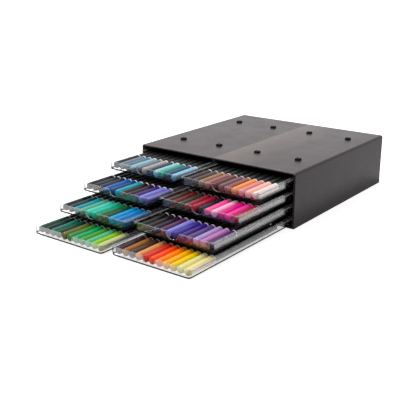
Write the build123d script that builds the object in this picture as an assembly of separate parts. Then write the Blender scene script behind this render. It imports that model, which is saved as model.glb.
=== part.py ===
from build123d import *
import math
import os

# A drawer box for pens: a casing with two columns of low clear trays that hang by the flanges
# along their rims, each tray filled with one layer of round markers.
# The origin is the centre of the casing's underside. The drawers open towards -Y, and +Z is up.

# Driving dimensions, in millimetres.

# The markers, which a drawer's size follows from
MARKER_DIAMETER = 12.0
MARKER_LENGTH = 210.0
MARKERS_PER_DRAWER = 11
MARKER_GAP = 0.1  # between two markers, and beside the outer two
MARKER_PROUD = 0.4  # how far a marker stands above the rim of its drawer
MARKER_END_PLAY = 0.4  # between the barrels and the stop rib
MARKER_SIDES = 9  # flat faces that stand for the round; an odd number has one flat downwards
CAP_LENGTH = 54.0
CAP_CHAMFER = 1.4
BARREL_DIAMETER = 11.5

# A drawer
DRAWER_WALL = 1.6
DRAWER_FLOOR = 1.6
DRAWER_CORNER = 5.0  # radius of the upright corners
REAR_BAY = 85.8  # free length behind the stop rib
STOP_RIB_HEIGHT = 3.0  # rib across the floor that the markers stop against
STOP_RIB_THICKNESS = 1.2
NOTCH_SILL = 0.85  # what the finger notch leaves of the front wall above the floor
NOTCH_LIP = 1.5  # radius at the notch's two upper corners
FLANGE_WIDTH = 4.0
FLANGE_THICKNESS = 1.6
FLANGE_LEAD = 1.0  # from the end of a corner radius to the end of the flange

# The rails that carry the flanges
RUN_GAP = 0.3  # between a running face and what it runs on
SIDE_GAP = 0.5  # beside a flange
LEDGE_WIDTH = 3.6
LEDGE_ROOT = 2.0
LEDGE_TIP = 1.2
KEEPER_GAP = 1.5  # between a flange and the keeper above it
KEEPER_ROOT = 1.6
KEEPER_TIP = 0.8
BLOCK_LENGTH = 4.0  # stop block under the front end of a keeper
CATCH_LENGTH = 5.0  # catch on top of a flange, which the block holds back
HELD_LENGTH = 46.6  # length of an open drawer that stays in the casing

# The casing
ROWS = 4
WALL = 3.0
DIVIDER_THICKNESS = 2.4
RAIL_PANEL_THICKNESS = 1.0
BASE_THICKNESS = 2.4
BASE_SEAT = 0.8  # step in the walls that the base plate lies in
EDGE_RADIUS = 4.0
INNER_BEVEL = 1.6  # along the casing's inner corners, and at the base plate's
FRONT_SETBACK = 0.6  # from the casing's front to a closed drawer
PANEL_SETBACK = 1.0  # from the casing's front to the divider and the rail panels
REAR_GAP = 0.4  # behind a closed drawer
ROW_GAP = 7.4  # from the rim of one drawer to the underside of the next
GUIDE_DEPTH = 2.5  # ribs each side of the divider, under the ceiling and down the back
GUIDE_THICKNESS = 1.2
GUIDE_GAP = 0.8  # from the highest keeper to the ribs
SEAT_FIT = 0.1  # clearance round a piece that is fixed in the casing

# Tabs under the divider and the rail panels, through slots in the base plate
TAB_COUNT = 4
TAB_LENGTH = 14.0
TAB_INSET = 45.0  # from the casing's front and back to the outer tabs
TAB_RECESS = 0.3  # from a tab's end up to the underside of the base plate
TAB_FIT = 0.15

# Studs on the top, and the sockets under the next box that take them
STUD_SIZE = 8.0
STUD_HEIGHT = 2.8
STUD_CHAMFER = 0.6
STUD_SEAT = 0.6  # depth of the recess that a stud is fixed in
STUD_FIT = 0.4  # clearance round a stud in its socket
STUD_CLEARANCE = 0.4  # from a stud of the box below to the lowest drawer
STUD_SIDE_INSET = 36.0
STUD_END_INSET = 68.0
STUDS_ACROSS = 4

# How far each drawer stands open, as a share of its travel, from the top row down
OPEN_LEFT = (0.35, 0.59, 0.79, 0.98)
OPEN_RIGHT = (0.35, 0.54, 0.76, 0.95)

# What follows from them

MARKER_PITCH = MARKER_DIAMETER + MARKER_GAP
DRAWER_WIDTH = MARKERS_PER_DRAWER * MARKER_PITCH + MARKER_GAP + 2 * DRAWER_WALL
DRAWER_HEIGHT = DRAWER_FLOOR + MARKER_DIAMETER - MARKER_PROUD
CAP_FRONT = DRAWER_CORNER - CAP_CHAMFER  # a cap is full width only behind the corner radii
STOP_RIB_FRONT = CAP_FRONT + MARKER_LENGTH + MARKER_END_PLAY
DRAWER_LENGTH = STOP_RIB_FRONT + STOP_RIB_THICKNESS + REAR_BAY + DRAWER_WALL
MAX_PULL = DRAWER_LENGTH - HELD_LENGTH

COLUMN_WIDTH = DRAWER_WIDTH + 2 * (FLANGE_WIDTH + SIDE_GAP)
COLUMN_CENTRE = (DIVIDER_THICKNESS + COLUMN_WIDTH) / 2
INNER_HALF_WIDTH = DIVIDER_THICKNESS / 2 + COLUMN_WIDTH + RAIL_PANEL_THICKNESS
CASE_WIDTH = 2 * (INNER_HALF_WIDTH + WALL)
CASE_DEPTH = FRONT_SETBACK + DRAWER_LENGTH + REAR_GAP + WALL
CASE_FRONT = -CASE_DEPTH / 2
PANEL_FRONT = CASE_FRONT + PANEL_SETBACK
BACK_FACE = CASE_DEPTH / 2 - WALL
DRAWER_FRONT = CASE_FRONT + FRONT_SETBACK

ROW_PITCH = DRAWER_HEIGHT + ROW_GAP
FIRST_UNDERSIDE = max(STUD_HEIGHT, BASE_THICKNESS) + STUD_CLEARANCE
UNDERSIDES = [FIRST_UNDERSIDE + row * ROW_PITCH for row in reversed(range(ROWS))]
RIMS = [underside + DRAWER_HEIGHT for underside in UNDERSIDES]
CEILING = RIMS[0] + KEEPER_GAP + KEEPER_ROOT + GUIDE_GAP + GUIDE_DEPTH
CASE_HEIGHT = CEILING + WALL

STUD_PITCH_X = (CASE_WIDTH - 2 * STUD_SIDE_INSET) / (STUDS_ACROSS - 1)
STUD_PITCH_Y = CASE_DEPTH - 2 * STUD_END_INSET
TAB_PITCH = (CASE_DEPTH - 2 * TAB_INSET) / (TAB_COUNT - 1)
TAB_PLACES = [CASE_FRONT + TAB_INSET + tab * TAB_PITCH for tab in range(TAB_COUNT)]
STUD_PLACES = GridLocations(STUD_PITCH_X, STUD_PITCH_Y, STUDS_ACROSS, 2)

# From a drawer's front to its catch, which meets the stop blocks when the drawer is fully open
CATCH_FRONT = PANEL_FRONT + BLOCK_LENGTH + RUN_GAP + MAX_PULL - DRAWER_FRONT


def block(x, y, z):
    """A block, from its lowest and highest X, Y and Z."""
    solid = Box(x[1] - x[0], y[1] - y[0], z[1] - z[0])
    return Pos((x[0] + x[1]) / 2, (y[0] + y[1]) / 2, (z[0] + z[1]) / 2) * solid


def along_y(front_view, start, end):
    """A profile drawn in X and Z, run from one depth to another."""
    return extrude(Plane.XZ.offset(-start) * front_view, amount=end - start, dir=(0, 1, 0))


def across_x(side_view, start, end):
    """A profile drawn in Y and Z, run from one X to another."""
    return extrude(Plane.YZ.offset(start) * side_view, amount=end - start, dir=(1, 0, 0))


# The casing


def hood_edges(solid):
    """The edges of a block where the casing's top, sides and back meet each other."""
    long_edges = solid.edges().filter_by(Axis.Y).group_by(Axis.Z)[-1]
    back_edges = solid.faces().sort_by(Axis.Y)[-1].edges()
    top_back_edge = back_edges.filter_by(Axis.X).sort_by(Axis.Z)[-1:]
    return long_edges + back_edges.filter_by(Axis.Z) + top_back_edge


def base_outline(fit):
    """The base plate's blank, smaller than its seat in the walls by fit on three sides."""
    half_width = INNER_HALF_WIDTH + BASE_SEAT - fit
    back = BACK_FACE + BASE_SEAT - fit
    blank = block((-half_width, half_width), (CASE_FRONT, back), (0, BASE_THICKNESS))
    return chamfer(blank.edges().filter_by(Axis.Z).group_by(Axis.Y)[-1], INNER_BEVEL)


def divider_guides():
    """L-shaped ribs, one each side of the divider, under the ceiling and down the back wall."""
    side_view = Polygon(
        (PANEL_FRONT, CEILING),
        (BACK_FACE, CEILING),
        (BACK_FACE, BASE_THICKNESS),
        (BACK_FACE - GUIDE_DEPTH, BASE_THICKNESS),
        (BACK_FACE - GUIDE_DEPTH, CEILING - GUIDE_DEPTH),
        (PANEL_FRONT, CEILING - GUIDE_DEPTH),
        align=None,
    )
    near = DIVIDER_THICKNESS / 2 + SEAT_FIT
    far = near + GUIDE_THICKNESS
    return across_x(side_view, near, far) + across_x(side_view, -far, -near)


def casing_shell():
    """Top, sides and back in one moulding, open at the front and below."""
    beyond = WALL  # how far a cut runs past the face that it opens
    outside = block((-CASE_WIDTH / 2, CASE_WIDTH / 2), (CASE_FRONT, CASE_DEPTH / 2), (0, CASE_HEIGHT))
    outside = fillet(hood_edges(outside), EDGE_RADIUS)
    inside = block((-INNER_HALF_WIDTH, INNER_HALF_WIDTH), (CASE_FRONT - beyond, BACK_FACE),
                   (-beyond, CEILING))
    inside = chamfer(hood_edges(inside), INNER_BEVEL)
    seat = block((-STUD_SIZE / 2 - SEAT_FIT, STUD_SIZE / 2 + SEAT_FIT),
                 (-STUD_SIZE / 2 - SEAT_FIT, STUD_SIZE / 2 + SEAT_FIT),
                 (CASE_HEIGHT - STUD_SEAT, CASE_HEIGHT + beyond))
    shell = outside - inside - base_outline(0)
    return shell + divider_guides() - [place * seat for place in STUD_PLACES]


def panel_tabs(x, fit):
    """The tabs under an upright panel between two X, or with a fit the slots that take them."""
    reach = TAB_LENGTH / 2 + fit
    low = TAB_RECESS if fit == 0 else -TAB_RECESS
    return [block((x[0] - fit, x[1] + fit), (place - reach, place + reach), (low, BASE_THICKNESS + fit))
            for place in TAB_PLACES]


def base_plate():
    """The plate that closes the casing below, with sockets for the studs of the box beneath."""
    half_socket = STUD_SIZE / 2 + STUD_FIT
    socket = block((-half_socket, half_socket), (-half_socket, half_socket),
                   (-BASE_THICKNESS, 2 * BASE_THICKNESS))
    plate = base_outline(SEAT_FIT) - [place * socket for place in STUD_PLACES]
    for panel in (divider_x(), rail_panel_x("left"), rail_panel_x("right")):
        plate -= panel_tabs(panel, TAB_FIT)
    return plate


def stacking_studs():
    """Square studs, each fixed in a shallow recess in the casing's top."""
    half = STUD_SIZE / 2
    stud = block((-half, half), (-half, half), (CASE_HEIGHT - STUD_SEAT, CASE_HEIGHT + STUD_HEIGHT))
    stud = chamfer(stud.faces().sort_by(Axis.Z)[-1].edges(), STUD_CHAMFER)
    return Compound(children=[place * stud for place in STUD_PLACES])


# The divider and the two rail panels, which carry the drawers


def divider_x():
    """The divider's two faces."""
    return -DIVIDER_THICKNESS / 2, DIVIDER_THICKNESS / 2


def rail_panel_x(column):
    """The two faces of the panel that lines one side wall."""
    near = INNER_HALF_WIDTH - RAIL_PANEL_THICKNESS
    return (near, INNER_HALF_WIDTH) if column == "right" else (-INNER_HALF_WIDTH, -near)


def rails(face, side):
    """A ledge and a keeper for each row, standing out from a panel's face; side is +1 towards +X."""
    tip = face + side * LEDGE_WIDTH
    front_view = Sketch()
    stop_view = Sketch()
    for rim in RIMS:
        seat = rim - FLANGE_THICKNESS - RUN_GAP
        keeper = rim + KEEPER_GAP
        front_view += Polygon((face, seat), (tip, seat), (tip, seat - LEDGE_TIP),
                              (face, seat - LEDGE_ROOT), align=None)
        front_view += Polygon((face, keeper), (tip, keeper), (tip, keeper + KEEPER_TIP),
                              (face, keeper + KEEPER_ROOT), align=None)
        stop_view += Polygon((face, keeper), (tip, keeper), (tip, rim + RUN_GAP),
                             (face, rim + RUN_GAP), align=None)
    rear = BACK_FACE - GUIDE_DEPTH - SIDE_GAP
    runners = along_y(front_view, PANEL_FRONT, rear)
    return runners + along_y(stop_view, PANEL_FRONT, PANEL_FRONT + BLOCK_LENGTH)


def upright_panel(x, back, top, corner):
    """A plate on edge between two X, with its top back corner cut off and tabs along its foot."""
    plate = block(x, (PANEL_FRONT, back), (BASE_THICKNESS, top))
    upper_back = plate.edges().filter_by(Axis.X).sort_by(lambda edge: edge.center().Y + edge.center().Z)
    return chamfer(upper_back[-1:], corner) + panel_tabs(x, 0)


def centre_divider():
    """The wall between the two columns, with rails on both faces."""
    x = divider_x()
    plate = upright_panel(x, BACK_FACE - SEAT_FIT, CEILING - SEAT_FIT, INNER_BEVEL)
    return plate + rails(x[0], -1) + rails(x[1], 1)


def rail_panel(column):
    """The thin panel on one side wall, clear of the wall's inner bevels, with rails on its face."""
    x = rail_panel_x(column)
    clear = INNER_BEVEL + SEAT_FIT
    plate = upright_panel(x, BACK_FACE - clear, CEILING - clear, INNER_BEVEL)
    if column == "right":
        return plate + rails(x[0], -1)
    return plate + rails(x[1], 1)


# The drawers, each made with its front at Y = 0, its underside at Z = 0 and its middle at X = 0


def tray_block(width, ends, heights, corner):
    """A block with round upright corners."""
    solid = block((-width / 2, width / 2), ends, heights)
    return fillet(solid.edges().filter_by(Axis.Z), corner)


def finger_notch():
    """The half-round cut in the middle of the front wall, with its two upper corners eased."""
    radius = DRAWER_HEIGHT - DRAWER_FLOOR - NOTCH_SILL
    reach = radius + NOTCH_LIP
    mouth = Pos(0, DRAWER_HEIGHT) * (Rectangle(2 * reach, 2 * NOTCH_LIP) - Pos(0, 0) * Circle(radius))
    corners = [Pos(side * reach, DRAWER_HEIGHT - NOTCH_LIP) * Circle(NOTCH_LIP) for side in (-1, 1)]
    front_view = Pos(0, DRAWER_HEIGHT) * Circle(radius) + (mouth - corners)
    return along_y(front_view, -DRAWER_WALL, 2 * DRAWER_WALL)


def drawer():
    """A clear tray with a finger notch, a rib behind the markers and a flange along each side."""
    inner_width = DRAWER_WIDTH - 2 * DRAWER_WALL
    tray = tray_block(DRAWER_WIDTH, (0, DRAWER_LENGTH), (0, DRAWER_HEIGHT), DRAWER_CORNER)
    tray -= tray_block(inner_width, (DRAWER_WALL, DRAWER_LENGTH - DRAWER_WALL),
                       (DRAWER_FLOOR, DRAWER_HEIGHT + DRAWER_FLOOR), DRAWER_CORNER - DRAWER_WALL)
    tray -= finger_notch()

    tray += block((-inner_width / 2, inner_width / 2),
                  (STOP_RIB_FRONT, STOP_RIB_FRONT + STOP_RIB_THICKNESS),
                  (DRAWER_FLOOR, DRAWER_FLOOR + STOP_RIB_HEIGHT))

    inner_edge = DRAWER_WIDTH / 2 - DRAWER_WALL / 2
    outer_edge = DRAWER_WIDTH / 2 + FLANGE_WIDTH
    ends = (DRAWER_CORNER + FLANGE_LEAD, DRAWER_LENGTH - DRAWER_CORNER - FLANGE_LEAD)
    flange = block((inner_edge, outer_edge), ends, (DRAWER_HEIGHT - FLANGE_THICKNESS, DRAWER_HEIGHT))
    outer_corners = flange.edges().filter_by(Axis.Z).group_by(Axis.X)[-1]
    flange = chamfer(outer_corners, FLANGE_WIDTH / 2)
    catch = block((DRAWER_WIDTH / 2 + SIDE_GAP, outer_edge), (CATCH_FRONT, CATCH_FRONT + CATCH_LENGTH),
                  (DRAWER_HEIGHT, DRAWER_HEIGHT + KEEPER_GAP - RUN_GAP))
    side = flange + catch
    return tray + side + mirror(side, about=Plane.YZ)


# The markers, lying side by side in a drawer


def prism(diameter, start, end):
    """A flat-sided stand-in for a round bar along Y, inscribed in its circle, with a corner upwards."""
    return along_y(RegularPolygon(diameter / 2, MARKER_SIDES, rotation=90), start, end)


def marker_row(marker):
    """Copies of one marker piece across a drawer, lying on its floor."""
    axis_height = DRAWER_FLOOR + MARKER_DIAMETER / 2 * math.cos(math.pi / MARKER_SIDES)
    first = -(MARKERS_PER_DRAWER - 1) * MARKER_PITCH / 2
    places = [Pos(first + place * MARKER_PITCH, 0, axis_height) for place in range(MARKERS_PER_DRAWER)]
    return [place * marker for place in places]


def marker_caps():
    """The caps, towards the front of the drawer, with a chamfered end."""
    cap = prism(MARKER_DIAMETER, CAP_FRONT, CAP_FRONT + CAP_LENGTH)
    return marker_row(chamfer(cap.faces().sort_by(Axis.Y)[0].edges(), CAP_CHAMFER))


def marker_barrels():
    """The barrels, from the caps to the stop rib."""
    return marker_row(prism(BARREL_DIAMETER, CAP_FRONT + CAP_LENGTH, CAP_FRONT + MARKER_LENGTH))


def write(node, shape):
    """One file for one piece, or for one group of like pieces."""
    export_step(shape, f"parts/{node}.step")


def write_drawer(column, row, share, pieces):
    """One drawer with its markers, open by a share of its travel; row 1 is the top one."""
    x = COLUMN_CENTRE if column == "right" else -COLUMN_CENTRE
    place = Pos(x, DRAWER_FRONT - share * MAX_PULL, UNDERSIDES[row - 1])
    tray, caps, barrels = pieces
    write(f"drawer_{column}_{row}", place * tray)
    write(f"marker_caps_{column}_{row}", Compound(children=[place * cap for cap in caps]))
    write(f"marker_barrels_{column}_{row}", Compound(children=[place * barrel for barrel in barrels]))


os.makedirs("parts", exist_ok=True)
write("casing_shell", casing_shell())
write("base_plate", base_plate())
write("stacking_studs", stacking_studs())
write("centre_divider", centre_divider())
write("left_rail_panel", rail_panel("left"))
write("right_rail_panel", rail_panel("right"))

drawer_pieces = drawer(), marker_caps(), marker_barrels()
for column, shares in (("left", OPEN_LEFT), ("right", OPEN_RIGHT)):
    for row, share in enumerate(shares, start=1):
        write_drawer(column, row, share, drawer_pieces)
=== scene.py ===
import math
import bmesh
import bpy
from mathutils import Matrix, Vector


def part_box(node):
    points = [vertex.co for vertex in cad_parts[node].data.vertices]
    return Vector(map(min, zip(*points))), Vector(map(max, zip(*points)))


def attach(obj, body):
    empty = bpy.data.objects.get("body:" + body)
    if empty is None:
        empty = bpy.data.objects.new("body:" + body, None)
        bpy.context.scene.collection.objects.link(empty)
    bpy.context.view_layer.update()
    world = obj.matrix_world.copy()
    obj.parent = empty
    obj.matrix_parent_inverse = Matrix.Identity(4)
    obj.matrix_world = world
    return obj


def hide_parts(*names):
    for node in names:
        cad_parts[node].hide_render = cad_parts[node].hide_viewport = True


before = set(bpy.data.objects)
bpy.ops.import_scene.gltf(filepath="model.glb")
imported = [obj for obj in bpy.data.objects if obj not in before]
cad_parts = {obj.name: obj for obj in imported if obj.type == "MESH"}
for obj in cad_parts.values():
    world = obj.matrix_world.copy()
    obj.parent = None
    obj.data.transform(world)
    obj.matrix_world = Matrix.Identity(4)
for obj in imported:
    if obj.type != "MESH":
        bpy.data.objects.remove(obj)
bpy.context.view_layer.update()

# ---- The view
# The camera stands where the photograph was taken from, a little above the box and to its right,
# so that the top, the right side and the open fronts of the trays all show. Its place and its
# angles are fitted to the casing's corners and the trays' fronts in the photograph.

LOOK_DOWN = math.radians(18.99)
LOOK_LEFT = math.radians(36.92)

camera = bpy.data.objects.new("camera", bpy.data.cameras.new("camera"))
camera.location = (0.6692, -1.0582, 0.3905)
camera.rotation_euler = (math.pi / 2 - LOOK_DOWN, 0, LOOK_LEFT)
camera.data.sensor_width = 36.0
camera.data.lens = 63.5
bpy.context.scene.collection.objects.link(camera)
bpy.context.scene.camera = camera


# ---- The floor and the light
# A white paper sweep under soft light: a large softbox above and to the left, a weak one from the
# right, another from behind, and a bright room all round that the gloss of the plastic picks up.

FLOOR_HALF = 6.0
FLOOR_DROP = 0.0003       # the paper gives a little under the box
FLOOR_LIFT = 0.82         # added where the paper is seen, so that it goes out to white
FLOOR_MIRRORED = 0.3      # added where a gloss mirrors it
ROOM_LIGHT = 0.3          # what the room gives as light
ROOM_SEEN = 1.0           # how bright it looks, where 1 is white


def add(tree, kind, inputs=(), **settings):
    """Adds a node with its settings, and gives each input a value or the socket that feeds it."""
    node = tree.nodes.new(kind)
    for name, value in settings.items():
        setattr(node, name, value)
    for socket, value in dict(inputs).items():
        if isinstance(value, bpy.types.NodeSocket):
            tree.links.new(value, node.inputs[socket])
        else:
            node.inputs[socket].default_value = value
    return node


def colour(code):
    """An sRGB hex code as linear red, green, blue and alpha."""
    channels = [int(code[place:place + 2], 16) / 255 for place in (0, 2, 4)]
    return [c / 12.92 if c <= 0.04045 else ((c + 0.055) / 1.055) ** 2.4 for c in channels] + [1.0]


def new_material(name):
    """A material and its node tree, which has a Principled BSDF wired to its output."""
    material = bpy.data.materials.new(name)
    material.use_nodes = True
    return material, material.node_tree


def white_paper():
    """Matt white paper: the box's soft shadow stays on it, and the rest goes out to white."""
    material, tree = new_material("white_paper")
    tree.nodes.clear()
    paper = add(tree, "ShaderNodeBsdfDiffuse", {"Color": colour("e5e5e5")})
    path = add(tree, "ShaderNodeLightPath").outputs
    seen = add(tree, "ShaderNodeMath", {0: path["Is Camera Ray"], 1: path["Is Transmission Ray"]},
               operation="MAXIMUM")
    mirrored = add(tree, "ShaderNodeMath", {0: path["Is Glossy Ray"], 1: FLOOR_MIRRORED},
                   operation="MULTIPLY")
    lift = add(tree, "ShaderNodeMath",
               {0: seen.outputs[0], 1: FLOOR_LIFT, 2: mirrored.outputs[0]},
               operation="MULTIPLY_ADD")
    glow = add(tree, "ShaderNodeEmission",
               {"Color": colour("ffffff"), "Strength": lift.outputs[0]})
    both = add(tree, "ShaderNodeAddShader", {0: paper.outputs[0], 1: glow.outputs[0]})
    add(tree, "ShaderNodeOutputMaterial", {"Surface": both.outputs[0]})
    return material


def bright_room():
    """A world that is white where it is seen or mirrored, and gives a plain level of light."""
    world = bpy.data.worlds.new("room")
    world.use_nodes = True
    tree = world.node_tree
    tree.nodes.clear()
    path = add(tree, "ShaderNodeLightPath").outputs
    looked_at = add(tree, "ShaderNodeMath", {0: path["Is Camera Ray"], 1: path["Is Glossy Ray"]},
                    operation="MAXIMUM")
    looked_at = add(tree, "ShaderNodeMath",
                    {0: looked_at.outputs[0], 1: path["Is Transmission Ray"]},
                    operation="MAXIMUM")
    lit = add(tree, "ShaderNodeBackground", {"Color": colour("ffffff"), "Strength": ROOM_LIGHT})
    seen = add(tree, "ShaderNodeBackground", {"Color": colour("ffffff"), "Strength": ROOM_SEEN})
    both = add(tree, "ShaderNodeMixShader",
               {0: looked_at.outputs[0], 1: lit.outputs[0], 2: seen.outputs[0]})
    add(tree, "ShaderNodeOutputWorld", {"Surface": both.outputs[0]})
    return world


def softbox(name, place, aim, width, height, power):
    """A square lamp that faces a point."""
    lamp = bpy.data.lights.new(name, "AREA")
    lamp.shape = "RECTANGLE"
    lamp.size = width
    lamp.size_y = height
    lamp.energy = power
    holder = bpy.data.objects.new(name, lamp)
    holder.location = place
    holder.rotation_euler = (Vector(aim) - Vector(place)).to_track_quat("-Z", "Y").to_euler()
    bpy.context.scene.collection.objects.link(holder)


sweep = bmesh.new()
bmesh.ops.create_grid(sweep, x_segments=1, y_segments=1, size=FLOOR_HALF,
                      matrix=Matrix.Translation((0, 0, -FLOOR_DROP)))
floor = bpy.data.objects.new("floor", bpy.data.meshes.new("floor"))
sweep.to_mesh(floor.data)
sweep.free()
floor.data.materials.append(white_paper())
bpy.context.scene.collection.objects.link(floor)

bpy.context.scene.world = bright_room()
bpy.context.scene.view_settings.view_transform = "Standard"
softbox("key", (-0.5, -0.3, 1.7), (0, -0.1, 0.04), 0.7, 0.6, 30.0)
softbox("fill", (1.4, -0.6, 1.0), (0, -0.1, 0.04), 0.8, 0.8, 0.3)
softbox("rear", (-0.3, 1.3, 1.7), (0, 0, 0.06), 1.6, 0.7, 2.0)


# ---- The casing: its shell, base plate, divider and rail panels
# Injection-moulded polystyrene, black, with the fine satin grain of a spark-eroded mould. The
# plates clip into the shell by tabs. Every moulded edge has a small radius that catches light.

MM = 0.001
FLOW_MARK = 40.0 * MM       # the size of the soft patches that the melt leaves in the gloss
GRAIN = 0.7 * MM            # 0.2 mm on the real one, drawn coarser so that it shows
GRAIN_DEPTH = 0.035 * MM
TOP_LEVEL = 86.0 * MM       # only the outside of the top lies above this
# the next four numbers set a painted reflection beside the crease along the top's middle: the
# softness of its start, where it is strongest, where it has faded, and its strength
CREASE_BLUR = 1.5 * MM
CREASE_SHEEN_FROM = 0.5 * MM
CREASE_SHEEN_TO = 75.0 * MM
CREASE_SHEEN = 0.9
# the next two numbers set a painted highlight along the top's front edge: where it starts, and its
# strength
EDGE_GLINT_FRONT = -152.2 * MM  # the last millimetre of the top lies in front of this
EDGE_GLINT = 0.5
EDGE_ANGLE = math.radians(35)
WELD = 0.002 * MM           # corners of triangles that are nearer than this are one
FLAT_ANGLE = math.radians(0.5)


def satin_black(name, code, roughness, grain):
    """Black polystyrene from a satin mould: a soft sheen, faint flow marks and a fine grain, with a
    painted reflection and a painted highlight on the top.
    """
    material, tree = new_material(name)
    shader = tree.nodes["Principled BSDF"]
    place = add(tree, "ShaderNodeTexCoord").outputs["Object"]
    marks = add(tree, "ShaderNodeTexNoise",
                {"Vector": place, "Scale": 1 / FLOW_MARK, "Detail": 3.0}).outputs["Fac"]
    sheen = add(tree, "ShaderNodeMapRange",
                {"Value": marks, "From Min": 0.3, "From Max": 0.7,
                 "To Min": roughness - 0.04, "To Max": roughness + 0.05})
    spark = add(tree, "ShaderNodeTexNoise", {"Vector": place, "Scale": 1 / GRAIN, "Detail": 2.0})
    bump = add(tree, "ShaderNodeBump",
               {"Height": spark.outputs["Fac"], "Strength": grain, "Distance": GRAIN_DEPTH})
    # a colour mix takes its two colours at sockets 6 and 7, and gives the result at 2
    shade = add(tree, "ShaderNodeMix", {"Factor": marks, 6: colour(code), 7: colour("3a2f32")},
                data_type="RGBA")

    # a painted reflection: the top has a faint crease along its middle, over the divider, and the
    # half to the right of it mirrors the room a little paler; this is painted as a pale colour,
    # strongest at the crease and fading away from it
    axes = add(tree, "ShaderNodeSeparateXYZ", {"Vector": place}).outputs
    crease_sheen_fade = add(tree, "ShaderNodeMapRange",
                {"Value": axes["X"], "From Min": CREASE_SHEEN_FROM, "From Max": CREASE_SHEEN_TO,
                 "To Min": CREASE_SHEEN, "To Max": 0.0})
    right_of_crease = add(tree, "ShaderNodeMapRange",
               {"Value": axes["X"], "From Min": -CREASE_BLUR, "From Max": CREASE_BLUR})
    on_top = add(tree, "ShaderNodeMath", {0: axes["Z"], 1: TOP_LEVEL}, operation="GREATER_THAN")
    painted_crease_sheen = add(tree, "ShaderNodeMath", {0: crease_sheen_fade.outputs[0], 1: right_of_crease.outputs[0]},
               operation="MULTIPLY")
    painted_crease_sheen = add(tree, "ShaderNodeMath", {0: painted_crease_sheen.outputs[0], 1: on_top.outputs[0]},
               operation="MULTIPLY")
    with_crease_sheen = add(tree, "ShaderNodeMix",
                  {"Factor": painted_crease_sheen.outputs[0], 6: shade.outputs[2], 7: colour("625654")},
                  data_type="RGBA")

    # a painted highlight: the front edge of the top is painted a little paler, for the light that
    # its rounded edge catches
    at_edge = add(tree, "ShaderNodeMath", {0: axes["Y"], 1: EDGE_GLINT_FRONT}, operation="LESS_THAN")
    edge_glint = add(tree, "ShaderNodeMath", {0: at_edge.outputs[0], 1: on_top.outputs[0]},
                 operation="MULTIPLY")
    edge_glint = add(tree, "ShaderNodeMath", {0: edge_glint.outputs[0], 1: EDGE_GLINT}, operation="MULTIPLY")
    with_edge_glint = add(tree, "ShaderNodeMix",
               {"Factor": edge_glint.outputs[0], 6: with_crease_sheen.outputs[2], 7: colour("9a9496")},
               data_type="RGBA")
    tree.links.new(with_edge_glint.outputs[2], shader.inputs["Base Color"])
    tree.links.new(sheen.outputs[0], shader.inputs["Roughness"])
    tree.links.new(bump.outputs[0], shader.inputs["Normal"])
    shader.inputs["IOR"].default_value = 1.5
    shader.inputs["Specular IOR Level"].default_value = 0.2
    return material


def finish_mesh(name, mesh, materials, body, nodes=(), edge=0.0):
    """Puts a mesh in the scene as a piece that rides on a body, its sharp edges eased."""
    piece = bpy.data.objects.new(name, mesh)
    bpy.context.scene.collection.objects.link(piece)
    for material in materials:
        mesh.materials.append(material)
    mesh.shade_smooth()
    if edge:
        ease = piece.modifiers.new("eased_edges", "BEVEL")
        ease.width = edge
        ease.segments = 2
        ease.limit_method = "ANGLE"
        ease.angle_limit = EDGE_ANGLE
    level = piece.modifiers.new("level_faces", "WEIGHTED_NORMAL")
    level.keep_sharp = True
    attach(piece, body)
    if nodes:
        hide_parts(*nodes)
    return piece


def moulded_copy(node):
    """The CAD piece's own shape, with its triangles joined into the flat faces of the moulding."""
    shape = bmesh.new()
    shape.from_mesh(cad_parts[node].data)
    bmesh.ops.remove_doubles(shape, verts=shape.verts, dist=WELD)
    bmesh.ops.dissolve_limit(shape, angle_limit=FLAT_ANGLE, verts=shape.verts, edges=shape.edges)
    mesh = bpy.data.meshes.new(node)
    shape.to_mesh(mesh)
    shape.free()
    mesh.materials.clear()
    return mesh


shell_plastic = satin_black("satin_black_shell", "30272a", 0.27, 0.35)
inner_plastic = satin_black("satin_black_inside", "100e0f", 0.5, 0.25)
for node, plastic, slot, edge in (
        ("casing_shell", shell_plastic, "casing_plastic", 0.28 * MM),
        ("base_plate", shell_plastic, "casing_plastic", 0.2 * MM),
        ("centre_divider", inner_plastic, "rail_plastic", 0.15 * MM),
        ("left_rail_panel", inner_plastic, "rail_plastic", 0.15 * MM),
        ("right_rail_panel", inner_plastic, "rail_plastic", 0.15 * MM)):
    finish_mesh(node + "_dressed", moulded_copy(node), [plastic], "casing", [node], edge)


# ---- The stacking studs
# Eight little square blocks of black rubber, pushed into shallow recesses in the top. They stand
# 2.8 mm proud and go into the sockets under the next box.

STUD = 8.0 * MM
STUD_EDGE = 0.25 * MM
RUBBER_GRAIN = 0.8 * MM
RUBBER_GRAIN_DEPTH = 0.05 * MM


def black_rubber():
    """Moulded rubber: darker and duller than the casing, with a dusty grain."""
    material, tree = new_material("black_rubber")
    shader = tree.nodes["Principled BSDF"]
    place = add(tree, "ShaderNodeTexCoord").outputs["Object"]
    dust = add(tree, "ShaderNodeTexNoise",
               {"Vector": place, "Scale": 1 / RUBBER_GRAIN, "Detail": 4.0}).outputs["Fac"]
    shade = add(tree, "ShaderNodeMix", {"Factor": dust, 6: colour("060505"), 7: colour("0e0d0d")},
                data_type="RGBA")
    bump = add(tree, "ShaderNodeBump",
               {"Height": dust, "Strength": 0.5, "Distance": RUBBER_GRAIN_DEPTH})
    tree.links.new(shade.outputs[2], shader.inputs["Base Color"])
    tree.links.new(bump.outputs[0], shader.inputs["Normal"])
    shader.inputs["Roughness"].default_value = 0.85
    shader.inputs["Specular IOR Level"].default_value = 0.2
    return material


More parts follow.
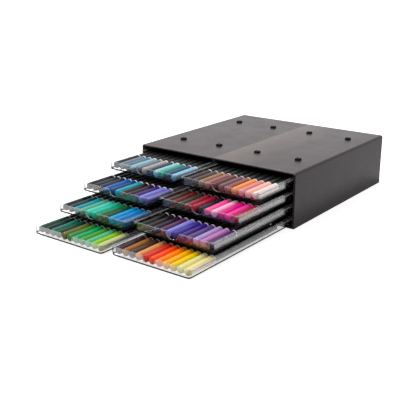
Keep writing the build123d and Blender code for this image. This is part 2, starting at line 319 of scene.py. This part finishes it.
low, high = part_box("stacking_studs")
studs = bmesh.new()
for across in range(4):
    for along in range(2):
        middle = Vector((low.x + STUD / 2 + across * (high.x - low.x - STUD) / 3,
                         low.y + STUD / 2 + along * (high.y - low.y - STUD),
                         (low.z + high.z) / 2))
        size = Matrix.Diagonal((STUD, STUD, high.z - low.z, 1))
        bmesh.ops.create_cube(studs, size=1.0, matrix=Matrix.Translation(middle) @ size)
bmesh.ops.bevel(studs, geom=studs.edges[:], offset=STUD_EDGE, segments=2, profile=0.5,
                affect="EDGES", material=-1)
mesh = bpy.data.meshes.new("studs")
studs.to_mesh(mesh)
studs.free()
finish_mesh("studs_dressed", mesh, [black_rubber()], "casing", ["stacking_studs"])


# ---- The trays
# Clear polystyrene, moulded thin and polished. The walls hardly show where nothing is behind
# them, but mirror the room at a slant. The rims carry a painted highlight, and the feet and the
# rounded corners a painted dark line.
# Each tray hangs by its flanges on the casing's rails, and its catches stop it at the full pull.

TRAY_WIDTH = 136.4 * MM
TRAY_LENGTH = 302.6 * MM
TRAY_HEIGHT = 13.2 * MM
TRAY_WALL = 1.6 * MM
TRAY_CORNER = 5.0 * MM
TRAY_FOOT = 1.2 * MM
TRAY_EDGE = 0.3 * MM
# the dark line below is a painted one, for the light that the rounded foot bends away
FOOT_LINE = 2.7 * MM        # the dark line reaches this high, a little above the floor
FLANGE_WIDTH = 4.0 * MM
FLANGE_THICKNESS = 1.6 * MM
FLANGE_END = 6.0 * MM
EDGE_BAND = 1.1 * MM        # how far in from the walls' outer faces a rim counts as an edge
CATCH_FRONT = 260.7 * MM
CATCH_LENGTH = 5.0 * MM
CATCH_HEIGHT = 1.2 * MM
CATCH_GAP = 0.5 * MM
RIB_FRONT = 214.0 * MM
RIB_THICKNESS = 1.2 * MM
RIB_HEIGHT = 3.0 * MM
RIB_GAP = 0.8 * MM
NOTCH_RADIUS = 10.75 * MM
NOTCH_LIP = 1.5 * MM
NOTCH_STEPS = 10
LIP_STEPS = 4
HAIR = 0.01 * MM            # places that are nearer than this are the same
MERGE = 0.001 * MM
SURFACE = 0.1 * MM          # a face whose middle is nearer the outline than this lies on it
POLISH_WAVE = 25.0 * MM     # faint flow waves, where the polish is a little duller
LIGHT_PATCH = 18.0 * MM     # the light inside an edge comes and goes over this length
# how much of a face's normal lies along an axis tells which way the face looks
STRAIGHT = 0.99
SOLE = 0.95
UPWARD = 0.3
UPRIGHT = 0.1
SIDEWAYS = 0.02
SIDE_ON = 0.998
X, Y, Z = range(3)
CLEAR, RIM, FOOT, EDGE, CORNER, FLOOR = range(6)


def clear_plastic(name, strongest):
    """Polished clear polystyrene: seen through, with the mirror of a smooth face at a slant."""
    material, tree = new_material(name)
    tree.nodes.clear()
    facing = add(tree, "ShaderNodeLayerWeight", {"Blend": 0.5}).outputs["Facing"]
    slant = add(tree, "ShaderNodeMath", {0: facing, 1: 2.3}, operation="POWER")
    mirror = add(tree, "ShaderNodeMapRange",
                 {"Value": slant.outputs[0], "To Min": 0.032, "To Max": strongest})
    place = add(tree, "ShaderNodeTexCoord").outputs["Object"]
    waves = add(tree, "ShaderNodeTexNoise",
                {"Vector": place, "Scale": 1 / POLISH_WAVE, "Detail": 1.0})
    dull = add(tree, "ShaderNodeMapRange",
               {"Value": waves.outputs["Fac"], "From Min": 0.35, "From Max": 0.65,
                "To Min": 0.008, "To Max": 0.022})
    through = add(tree, "ShaderNodeBsdfTransparent", {"Color": colour("fefefe")})
    haze = add(tree, "ShaderNodeBsdfDiffuse", {"Color": colour("e4e2e6")})
    gloss = add(tree, "ShaderNodeBsdfGlossy", {"Color": colour("ffffff"), "Roughness": 0.03})
    hazed = add(tree, "ShaderNodeMixShader",
                {0: dull.outputs[0], 1: through.outputs[0], 2: haze.outputs[0]})
    both = add(tree, "ShaderNodeMixShader",
               {0: mirror.outputs[0], 1: hazed.outputs[0], 2: gloss.outputs[0]})
    add(tree, "ShaderNodeOutputMaterial", {"Surface": both.outputs[0]})
    return material


def corner_plastic():
    """The rounded corners: clear from in front, and a painted dark line where they turn away."""
    material, tree = new_material("clear_polystyrene_corner")
    tree.nodes.clear()
    facing = add(tree, "ShaderNodeLayerWeight", {"Blend": 0.5}).outputs["Facing"]
    turned_away = add(tree, "ShaderNodeMapRange",
                      {"Value": facing, "From Min": 0.38, "From Max": 0.46,
                       "To Min": 0.04, "To Max": 0.9})
    through = add(tree, "ShaderNodeBsdfTransparent", {"Color": colour("fefefe")})
    dark = add(tree, "ShaderNodeBsdfPrincipled",
               {"Base Color": colour("2a282c"), "Roughness": 0.15, "IOR": 1.59,
                "Specular IOR Level": 0.3})
    both = add(tree, "ShaderNodeMixShader",
               {0: turned_away.outputs[0], 1: through.outputs[0], 2: dark.outputs[0]})
    add(tree, "ShaderNodeOutputMaterial", {"Surface": both.outputs[0]})
    return material


def edge_plastic(name, code, tint, least, most, gloss):
    """An edge of the clear moulding: part clear, and part painted light or shade in a given colour,
    white on the rims, near black on the feet, grey on the eased edges.
    """
    material, tree = new_material(name)
    tree.nodes.clear()
    place = add(tree, "ShaderNodeTexCoord").outputs["Object"]
    patches = add(tree, "ShaderNodeTexNoise",
                  {"Vector": place, "Scale": 1 / LIGHT_PATCH, "Detail": 2.0})
    share = add(tree, "ShaderNodeMapRange",
                {"Value": patches.outputs["Fac"], "From Min": 0.35, "From Max": 0.65,
                 "To Min": least, "To Max": most})
    through = add(tree, "ShaderNodeBsdfTransparent", {"Color": colour(tint)})
    solid = add(tree, "ShaderNodeBsdfPrincipled",
                {"Base Color": colour(code), "Roughness": 0.15, "IOR": 1.59,
                 "Specular IOR Level": gloss})
    both = add(tree, "ShaderNodeMixShader",
               {0: share.outputs[0], 1: through.outputs[0], 2: solid.outputs[0]})
    add(tree, "ShaderNodeOutputMaterial", {"Surface": both.outputs[0]})
    return material


def between(value, least, most):
    """True if a value lies between two others, with a hair to spare."""
    return least - HAIR < value < most + HAIR


def depth_inside(point):
    """How far a point lies inside the tray's outline, seen from above."""
    across = abs(point.x) - TRAY_WIDTH / 2
    along = abs(point.y - TRAY_LENGTH / 2) - TRAY_LENGTH / 2
    if across > -TRAY_CORNER and along > -TRAY_CORNER:
        return TRAY_CORNER - math.hypot(across + TRAY_CORNER, along + TRAY_CORNER)
    return -max(across, along)


def upper_faces(shape, wanted):
    """The level faces that look up and whose middle is a wanted place."""
    shape.normal_update()
    return [face for face in shape.faces
            if face.normal.z > STRAIGHT and wanted(face.calc_center_median())]


def side_faces(shape, side):
    """The outer faces of one long side, with those of the rounded front corner beside it."""
    shape.normal_update()
    return [face for face in shape.faces
            if face.normal.x * side > SIDEWAYS and abs(face.normal.z) < UPRIGHT
            and depth_inside(face.calc_center_median()) < SURFACE
            and face.calc_center_median().y < TRAY_LENGTH - TRAY_CORNER]


def front_faces(shape):
    """The front wall above the floor: its outer face, its inner face and its rim."""
    shape.normal_update()
    return [face for face in shape.faces
            if max(abs(face.normal.y), face.normal.z) > STRAIGHT
            and face.calc_center_median().y < TRAY_WALL + HAIR
            and face.calc_center_median().z > TRAY_WALL + HAIR]


def cut(shape, axis, place, faces):
    """Cuts some faces along a plane across an axis, and leaves both halves."""
    across = Vector([float(step == axis) for step in range(3)])
    edges = dict.fromkeys(edge for face in faces for edge in face.edges)
    verts = dict.fromkeys(vert for face in faces for vert in face.verts)
    bmesh.ops.bisect_plane(shape, geom=[*faces, *edges, *verts], dist=MERGE,
                           plane_co=place * across, plane_no=across)


def raise_faces(shape, faces, offset):
    """Extrudes faces as one and moves them."""
    raised = bmesh.ops.extrude_face_region(shape, geom=faces)["geom"]
    bmesh.ops.delete(shape, geom=faces, context="FACES_ONLY")
    moved = [item for item in raised if isinstance(item, bmesh.types.BMVert)]
    bmesh.ops.translate(shape, verts=moved, vec=offset)


def finish_of(face):
    """Which plastic a face of the tray takes, by where it is and how it is turned."""
    middle = face.calc_center_median()
    upright = abs(face.normal.z) < UPRIGHT
    in_notch = (middle.y < TRAY_WALL + HAIR and abs(middle.x) < NOTCH_RADIUS + NOTCH_LIP
                and abs(face.normal.y) < UPRIGHT)
    if (face.normal.z > UPWARD and abs(middle.x) < TRAY_WIDTH / 2
            and (middle.z > TRAY_HEIGHT - HAIR or in_notch)):
        return RIM
    if (depth_inside(middle) < TRAY_FOOT + HAIR and middle.z < FOOT_LINE
            and abs(face.normal.z) < SOLE):
        return FOOT
    if (upright and middle.z > TRAY_HEIGHT - FLANGE_THICKNESS
            and abs(middle.x) > TRAY_WIDTH / 2 - EDGE_BAND):
        return EDGE
    if upright and SIDEWAYS < abs(face.normal.x) < SIDE_ON and middle.z > FOOT_LINE:
        return CORNER
    if (abs(middle.x) > TRAY_WIDTH / 2
            or (abs(face.normal.z) > SOLE and middle.z < TRAY_WALL + HAIR)):
        return FLOOR
    return CLEAR


# one tray, with its front at Y = 0, its underside at Z = 0 and its middle at X = 0
tray = bmesh.new()
size = Matrix.Diagonal((TRAY_WIDTH, TRAY_LENGTH, TRAY_HEIGHT, 1))
middle = Matrix.Translation((0, TRAY_LENGTH / 2, TRAY_HEIGHT / 2))
bmesh.ops.create_cube(tray, size=1.0, matrix=middle @ size)
corners = [edge for edge in tray.edges if abs(edge.verts[0].co.z - edge.verts[1].co.z) > HAIR]
bmesh.ops.bevel(tray, geom=corners, offset=TRAY_CORNER, segments=8, profile=0.5,
                affect="EDGES", material=-1)

# the hollow: the top face is inset by the wall and pushed down to the floor
top = upper_faces(tray, lambda spot: True)
bmesh.ops.inset_region(tray, faces=top, thickness=TRAY_WALL, use_even_offset=True)
raise_faces(tray, top, (0, 0, TRAY_WALL - TRAY_HEIGHT))

# the rounded foot, and a cut round the walls, up to which it takes its painted dark line
tray.normal_update()
foot = dict.fromkeys(edge for face in tray.faces if face.normal.z < -STRAIGHT
                     for edge in face.edges)
bmesh.ops.bevel(tray, geom=list(foot), offset=TRAY_FOOT, segments=4, profile=0.5,
                affect="EDGES", material=-1)
cut(tray, Z, FOOT_LINE, list(tray.faces))

# the flanges, pulled out of the long sides and the front corners at the rim, and their catches
for side in (-1, 1):
    cut(tray, Z, TRAY_HEIGHT - FLANGE_THICKNESS, side_faces(tray, side))
    cut(tray, Y, TRAY_LENGTH - FLANGE_END, side_faces(tray, side))
    strip = [face for face in side_faces(tray, side)
             if face.calc_center_median().z > TRAY_HEIGHT - FLANGE_THICKNESS
             and face.calc_center_median().y < TRAY_LENGTH - FLANGE_END]
    raise_faces(tray, strip, (side * FLANGE_WIDTH, 0, 0))
    for axis, place in ((Y, CATCH_FRONT), (Y, CATCH_FRONT + CATCH_LENGTH),
                        (X, side * (TRAY_WIDTH / 2 + CATCH_GAP))):
        cut(tray, axis, place,
            upper_faces(tray, lambda spot: spot.x * side > TRAY_WIDTH / 2))
    catch = upper_faces(tray, lambda spot: spot.x * side > TRAY_WIDTH / 2 + CATCH_GAP
                        and between(spot.y, CATCH_FRONT, CATCH_FRONT + CATCH_LENGTH))
    raise_faces(tray, catch, (0, 0, CATCH_HEIGHT))

# the rib behind the markers, a little short of the walls
reach = TRAY_WIDTH / 2 - TRAY_WALL - RIB_GAP
for axis, place in ((Y, RIB_FRONT), (Y, RIB_FRONT + RIB_THICKNESS), (X, -reach), (X, reach)):
    cut(tray, axis, place, upper_faces(tray, lambda spot: abs(spot.z - TRAY_WALL) < HAIR))
rib = upper_faces(tray, lambda spot: abs(spot.z - TRAY_WALL) < HAIR and abs(spot.x) < reach
                  and between(spot.y, RIB_FRONT, RIB_FRONT + RIB_THICKNESS))
raise_faces(tray, rib, (0, 0, RIB_HEIGHT))

# the finger notch, a half round with a rounded lip: half of its outline is a list of distances
# from its middle and depths below the rim. The front wall is cut into strips, and the rim lowered.
lip = [math.pi / 2 * step / LIP_STEPS for step in range(LIP_STEPS + 1)]
bowl_start = math.asin(NOTCH_LIP / NOTCH_RADIUS)
bowl = [bowl_start + (math.pi / 2 - bowl_start) * step / NOTCH_STEPS
        for step in range(1, NOTCH_STEPS + 1)]
notch = [(NOTCH_RADIUS + NOTCH_LIP * (1 - math.sin(turn)), NOTCH_LIP * (1 - math.cos(turn)))
         for turn in lip]
notch += [(NOTCH_RADIUS * math.cos(turn), NOTCH_RADIUS * math.sin(turn)) for turn in bowl]
for away, _ in notch:
    for place in sorted({-away, away}):
        cut(tray, X, place, front_faces(tray))
for vert in tray.verts:
    if vert.co.y < TRAY_WALL + HAIR and vert.co.z > TRAY_HEIGHT - HAIR:
        for away, depth in notch:
            if abs(abs(vert.co.x) - away) < HAIR:
                vert.co.z = TRAY_HEIGHT - depth
bmesh.ops.remove_doubles(tray, verts=tray.verts, dist=MERGE)
bmesh.ops.recalc_face_normals(tray, faces=tray.faces)
for face in tray.faces:
    face.material_index = finish_of(face)

# the finishes below paint light and shade into the clear plastic: a white highlight on the rims, a
# dark line on the feet and the corners, a grey line on the eased edges
# in the order CLEAR, RIM, FOOT, EDGE, CORNER, FLOOR
tray_finishes = (
    clear_plastic("clear_polystyrene", 0.8),
    edge_plastic("clear_polystyrene_rim", "f2f3f4", "fafafa", 0.2, 0.35, 0.5),
    edge_plastic("clear_polystyrene_foot", "0b0a0c", "bcbcbc", 0.95, 1.0, 0.1),
    edge_plastic("clear_polystyrene_edge", "8e8a90", "f3f3f3", 0.5, 0.6, 0.3),
    corner_plastic(),
    clear_plastic("clear_polystyrene_floor", 0.12))
for column in ("left", "right"):
    for row in range(1, 5):
        node = f"drawer_{column}_{row}"
        low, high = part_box(node)
        mesh = bpy.data.meshes.new(node)
        tray.to_mesh(mesh)
        mesh.transform(Matrix.Translation(((low.x + high.x) / 2, low.y, low.z)))
        piece = finish_mesh(f"tray_{column}_{row}", mesh, tray_finishes, node,
                            [node], TRAY_EDGE)
        # the eased edges take the painted grey line
        piece.modifiers["eased_edges"].material = EDGE
tray.free()


# ---- The markers
# Round felt markers, eleven side by side in each tray. The cap at the front is moulded in the
# colour of the ink, the collar behind it is white, and the barrel is black with a small tail cap.

MARKERS = 11
MARKER_PITCH = 12.0 * MM
ROW_SHIFT = 1.0 * MM        # the rows lie against the trays' right walls
CAP_RADIUS = 5.5 * MM
CAP_FRONT = 3.6             # from the tray's front to the caps, in mm
ROUND_STEPS = 28
PIGMENT_SWIRL = 9.0 * MM    # where the pigment isn't quite even
GLOSS_PATCH = 6.0 * MM

# the outlines of the turned pieces: millimetres behind the piece's front, and radius there
CAP = ((0, 0), (0.06, 1.5), (0.35, 3.0), (0.9, 4.3), (1.7, 5.2), (2.8, 5.4), (4.0, 5.5),
       (53.6, 5.5), (54.0, 5.2), (54.0, 0))
COLLAR = ((0, 0), (0.05, 5.15), (0.4, 5.4), (1.8, 5.4), (2.2, 5.1), (2.2, 0))
BARREL = ((0, 0), (0.05, 5.0), (0.5, 5.25), (119.0, 5.25), (119.4, 5.0), (119.9, 5.0),
          (120.3, 5.35), (151.4, 5.15), (153.1, 4.9), (153.8, 3.6), (153.8, 0))

# the inks, from left to right in each tray, row 1 at the top
CAP_COLOURS = {
    "left_1": "141416 6c7e8a 56748a 8cb8c4 6a7284 a8a4a0 2a3c4a 8ecad0 0c8c7a 20406a 7cc0dc",
    "left_2": "0e0e12 182230 1e2434 005cb0 083f70 049ab2 200f1c 301826 3e1c70 7c7ccc 625ab0",
    "left_3": "081412 043a3e 00909e 5aa688 4ccab8 10b898 088050 0a4a30 0494cc 007cc4 046ca4",
    "left_4": "044632 0a1a16 00705a 0a4028 66682c 348434 00a45e 46982a 56b888 88c018 c4ca80",
    "right_1": "2e2420 4a3a30 94704e a05e5a 622a2a 765058 944a3e f09244 e08888 fcbcac f6dcd6",
    "right_2": "4a302a 6a201c 3a3630 902838 ac1436 1a1c28 fa5aa0 ffb8d6 e0148c f838a4 a4243c",
    "right_3": "100e12 26161f 1e162a 5a2c54 8484d8 3e3098 382080 5a4484 ae94cc c27cbe 462660",
    "right_4": "3a242a a0662c 4a3428 e29456 d63426 fa5018 ff8600 ffb400 f4cc00 e4e498 f6e298",
}


def turned(start, outline):
    """A round bar along Y, spun from its outline, whose front lies at a start in millimetres."""
    shape = bmesh.new()
    points = [shape.verts.new((0, (start + along) * MM, radius * MM)) for along, radius in outline]
    line = [shape.edges.new(pair) for pair in zip(points, points[1:])]
    bmesh.ops.spin(shape, geom=points + line, cent=(0, 0, 0), axis=(0, 1, 0), dvec=(0, 0, 0),
                   angle=2 * math.pi, steps=ROUND_STEPS, use_merge=True, use_duplicate=False)
    bmesh.ops.remove_doubles(shape, verts=shape.verts, dist=MERGE)
    bmesh.ops.recalc_face_normals(shape, faces=shape.faces)
    return shape


def marker_row(name, shape, corner, middle, codes=None):
    """Copies of a marker piece across a tray, in one mesh, each with its own colour if given."""
    row = bmesh.new()
    ink = row.loops.layers.float_color.new("ink") if codes else None
    for place in range(MARKERS):
        mesh = bpy.data.meshes.new("one")
        shape.to_mesh(mesh)
        across = middle + ROW_SHIFT + (place - MARKERS // 2) * MARKER_PITCH
        mesh.transform(Matrix.Translation((across, corner.y, corner.z + TRAY_WALL + CAP_RADIUS)))
        before = len(row.faces)
        row.from_mesh(mesh)
        bpy.data.meshes.remove(mesh)
        row.faces.ensure_lookup_table()
        if codes:
            for face in row.faces[before:]:
                for loop in face.loops:
                    loop[ink] = colour(codes[place])
    mesh = bpy.data.meshes.new(name)
    row.to_mesh(mesh)
    row.free()
    return mesh


def cap_plastic():
    """Polypropylene in the colour of the ink, smooth from a polished mould."""
    material, tree = new_material("coloured_polypropylene")
    shader = tree.nodes["Principled BSDF"]
    ink = add(tree, "ShaderNodeVertexColor", layer_name="ink").outputs["Color"]
    place = add(tree, "ShaderNodeTexCoord").outputs["Object"]
    swirl = add(tree, "ShaderNodeTexNoise",
                {"Vector": place, "Scale": 1 / PIGMENT_SWIRL, "Detail": 2.0}).outputs["Fac"]
    value = add(tree, "ShaderNodeMapRange", {"Value": swirl, "To Min": 0.94, "To Max": 1.06})
    shade = add(tree, "ShaderNodeHueSaturation", {"Color": ink, "Value": value.outputs[0]})
    rough = add(tree, "ShaderNodeMapRange", {"Value": swirl, "To Min": 0.2, "To Max": 0.3})
    tree.links.new(shade.outputs[0], shader.inputs["Base Color"])
    tree.links.new(rough.outputs[0], shader.inputs["Roughness"])
    shader.inputs["IOR"].default_value = 1.4
    shader.inputs["Specular IOR Level"].default_value = 0.35
    return material


def plain_plastic(name, code, roughness):
    """Plain polypropylene, with a faint unevenness in its colour and its gloss."""
    material, tree = new_material(name)
    shader = tree.nodes["Principled BSDF"]
    place = add(tree, "ShaderNodeTexCoord").outputs["Object"]
    patches = add(tree, "ShaderNodeTexNoise",
                  {"Vector": place, "Scale": 1 / GLOSS_PATCH, "Detail": 2.0}).outputs["Fac"]
    value = add(tree, "ShaderNodeMapRange", {"Value": patches, "To Min": 0.92, "To Max": 1.05})
    shade = add(tree, "ShaderNodeHueSaturation",
                {"Color": colour(code), "Value": value.outputs[0]})
    rough = add(tree, "ShaderNodeMapRange",
                {"Value": patches, "To Min": roughness - 0.05, "To Max": roughness + 0.07})
    tree.links.new(shade.outputs[0], shader.inputs["Base Color"])
    tree.links.new(rough.outputs[0], shader.inputs["Roughness"])
    shader.inputs["IOR"].default_value = 1.4
    shader.inputs["Specular IOR Level"].default_value = 0.35
    return material


collar_front = CAP_FRONT + CAP[-1][0]
barrel_front = collar_front + COLLAR[-1][0]
cap = turned(CAP_FRONT, CAP)
collar = turned(collar_front, COLLAR)
barrel = turned(barrel_front, BARREL)
cap_finish = cap_plastic()
collar_finish = plain_plastic("white_polypropylene", "e9e9e6", 0.35)
barrel_finish = plain_plastic("black_polypropylene", "131315", 0.32)
for tag, codes in CAP_COLOURS.items():
    body = f"drawer_{tag}"
    low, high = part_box(body)
    centre = (low.x + high.x) / 2
    caps = marker_row(f"caps_{tag}", cap, low, centre, codes.split())
    finish_mesh(f"caps_{tag}", caps, [cap_finish], body, [f"marker_caps_{tag}"])
    collars = marker_row(f"collars_{tag}", collar, low, centre)
    finish_mesh(f"collars_{tag}", collars, [collar_finish], body)
    barrels = marker_row(f"barrels_{tag}", barrel, low, centre)
    finish_mesh(f"barrels_{tag}", barrels, [barrel_finish], body,
                [f"marker_barrels_{tag}"])
